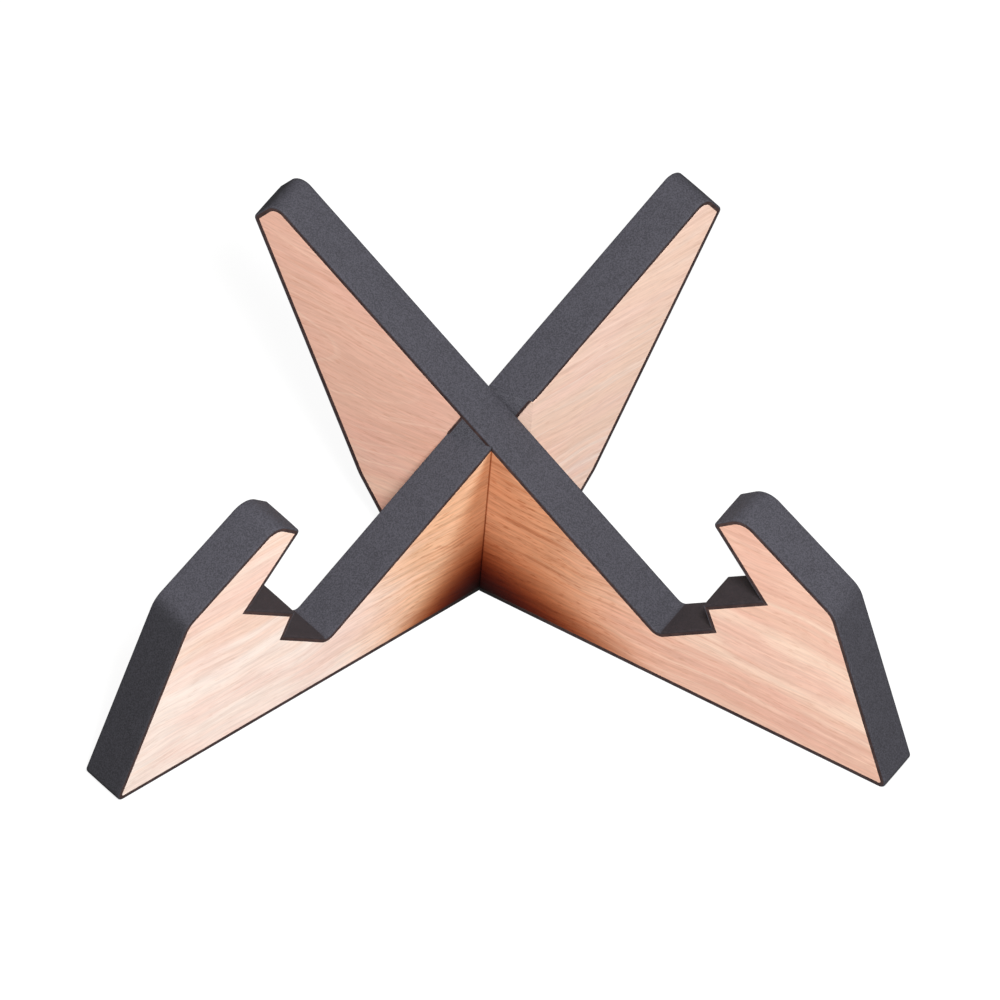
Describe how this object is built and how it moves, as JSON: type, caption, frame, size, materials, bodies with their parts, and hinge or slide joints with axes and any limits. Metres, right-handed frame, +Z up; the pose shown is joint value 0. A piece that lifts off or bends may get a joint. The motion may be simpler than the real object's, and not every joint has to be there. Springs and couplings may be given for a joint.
{
  "type": "guitar stand",
  "caption": "Knock-down floor stand for a guitar: slotted wooden boards crossed in an X, with rest slopes, stepped notches, front hooks and black foam round every edge.",
  "frame": {"origin": "on the floor, on the vertical line where the two boards cross", "axes": "+Z up; the hooks and front feet face -Y; the upper board runs from rear left (-X) to front right (+X)"},
  "size_m": [0.4192, 0.2494, 0.2002],
  "materials": {
    "wood": "light satin wood with fine straight grain",
    "foam": "matt charcoal closed-cell foam with a fine speckle"
  },
  "bodies": {
    "lower_board_body": {"lower_board": "wood", "lower_rest_pad_front": "foam", "lower_rest_pad_rear": "foam", "lower_tooth_pad": "foam", "lower_ledge_pad": "foam", "lower_hook_pad": "foam", "lower_base_pad": "foam", "lower_corner_pad": "foam"},
    "upper_board_body": {"upper_board": "wood", "upper_rest_pad": "foam", "upper_tooth_pad": "foam", "upper_ledge_pad": "foam", "upper_hook_pad": "foam", "upper_base_pad_front": "foam", "upper_base_pad_rear": "foam", "upper_corner_pad": "foam"}
  },
  "joints": [
    {"name": "upper_board_lift", "type": "slide", "parent": "lower_board_body", "child": "upper_board_body", "axis": [0, 0, 1], "range_m": [0, 0.21]}
  ]
}
